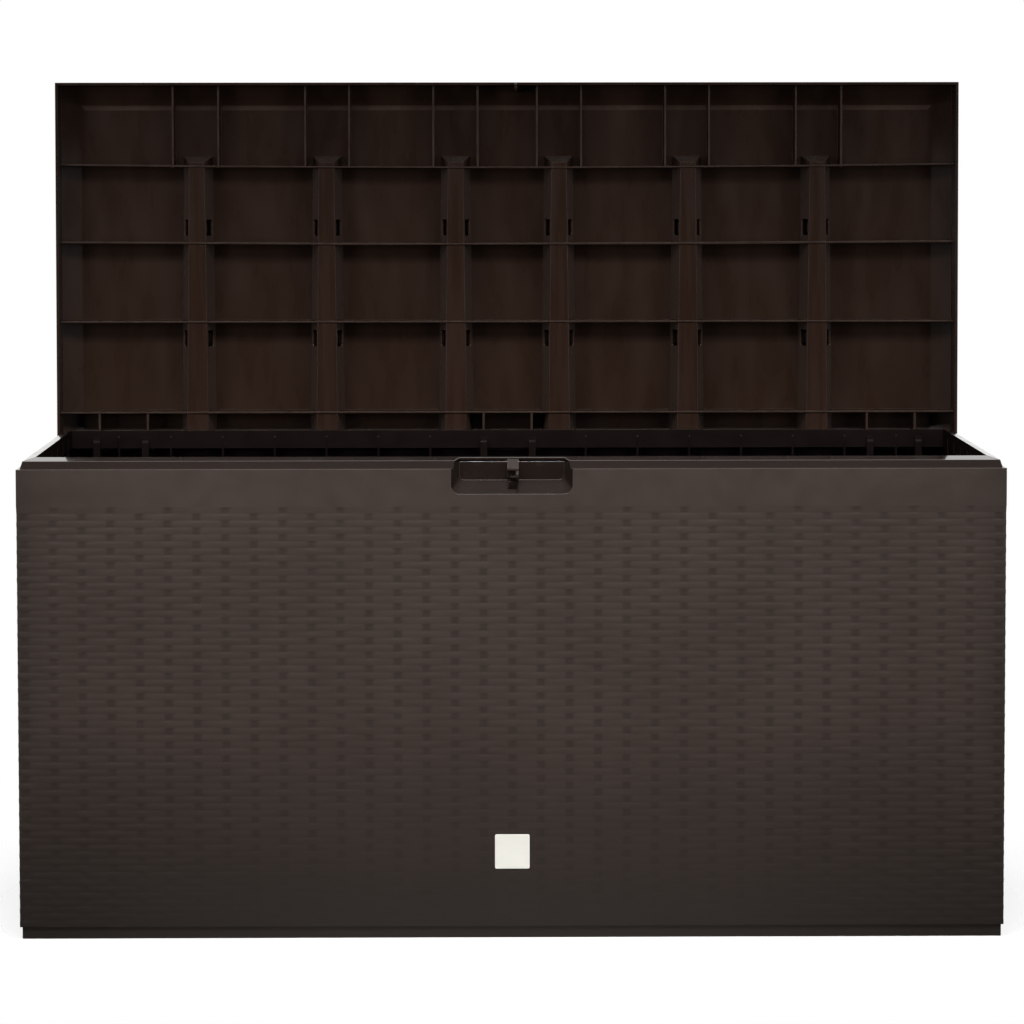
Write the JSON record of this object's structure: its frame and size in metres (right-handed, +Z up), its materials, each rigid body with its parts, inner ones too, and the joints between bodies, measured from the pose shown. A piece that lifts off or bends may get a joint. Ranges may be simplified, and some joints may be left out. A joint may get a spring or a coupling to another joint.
{
  "type": "deck storage box",
  "caption": "Long moulded plastic deck storage box with woven-look walls and a pinned, stiffened lid that swings open past upright; finger recess and padlock plates at the front.",
  "frame": {"origin": "centre of the box's base footprint, on the floor", "axes": "+X along the width to the right, +Y to the back where the hinges are, +Z up; the front faces -Y"},
  "size_m": [1.14, 0.5365, 0.9947],
  "materials": {
    "wall_plastic": "satin moulded polypropylene with a woven relief",
    "lid_plastic": "satin moulded polypropylene",
    "stiffener_plastic": "smooth satin polypropylene, slightly redder",
    "staple_plastic": "smooth moulded polypropylene",
    "pin_plastic": "smooth turned plastic rod",
    "badge": "plain off-white plate, blank"
  },
  "bodies": {
    "box": {"base_panel": "wall_plastic", "front_wall": "wall_plastic", "back_wall": "wall_plastic", "left_wall": "wall_plastic", "right_wall": "wall_plastic", "padlock_staple": "staple_plastic", "front_badge": "badge", "hinge_pin_left": "pin_plastic", "hinge_pin_centre": "pin_plastic", "hinge_pin_right": "pin_plastic"},
    "lid": {"lid_shell": "lid_plastic", "lid_stiffener_1": "stiffener_plastic", "lid_stiffener_2": "stiffener_plastic", "lid_stiffener_3": "stiffener_plastic", "lid_stiffener_4": "stiffener_plastic", "lid_stiffener_5": "stiffener_plastic", "lid_stiffener_6": "stiffener_plastic"}
  },
  "joints": [
    {"name": "lid_hinge", "type": "hinge", "parent": "box", "child": "lid", "pos_m": [0, 0.227, 0.533], "axis": [1, 0, 0], "range_deg": [0, 91]}
  ]
}
